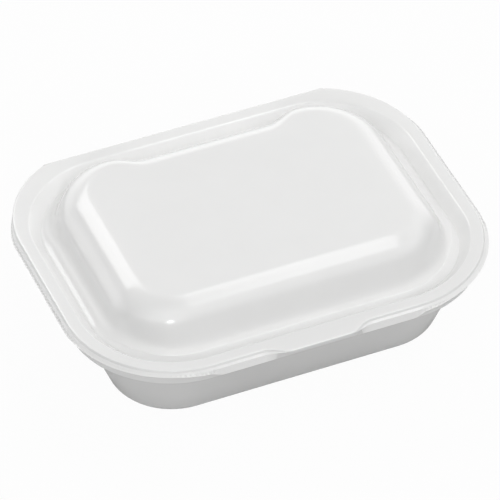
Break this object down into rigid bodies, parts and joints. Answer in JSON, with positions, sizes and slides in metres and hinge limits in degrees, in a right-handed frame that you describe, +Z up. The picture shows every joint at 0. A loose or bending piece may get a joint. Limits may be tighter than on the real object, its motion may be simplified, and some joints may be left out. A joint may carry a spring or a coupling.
{
  "type": "food container",
  "caption": "Closed takeaway food container with a deep sloping tray, a domed lid drawn in at the back, a flange with locks and an opening tab, and a fold hinge along the back.",
  "frame": {"origin": "centre of the underside of the tray's base", "axes": "+X along the long side, +Y towards the fold at the back, +Z up"},
  "size_m": [0.1948, 0.153, 0.0564],
  "materials": {
    "white_sheet": "satin white formed plastic sheet"
  },
  "bodies": {
    "tray_body": {"tray": "white_sheet"},
    "lid_body": {"lid": "white_sheet"}
  },
  "joints": [
    {"name": "lid_hinge", "type": "hinge", "parent": "tray_body", "child": "lid_body", "pos_m": [0, 0.0735, 0.04192], "axis": [-1, 0, 0], "range_deg": [0, 180]}
  ]
}
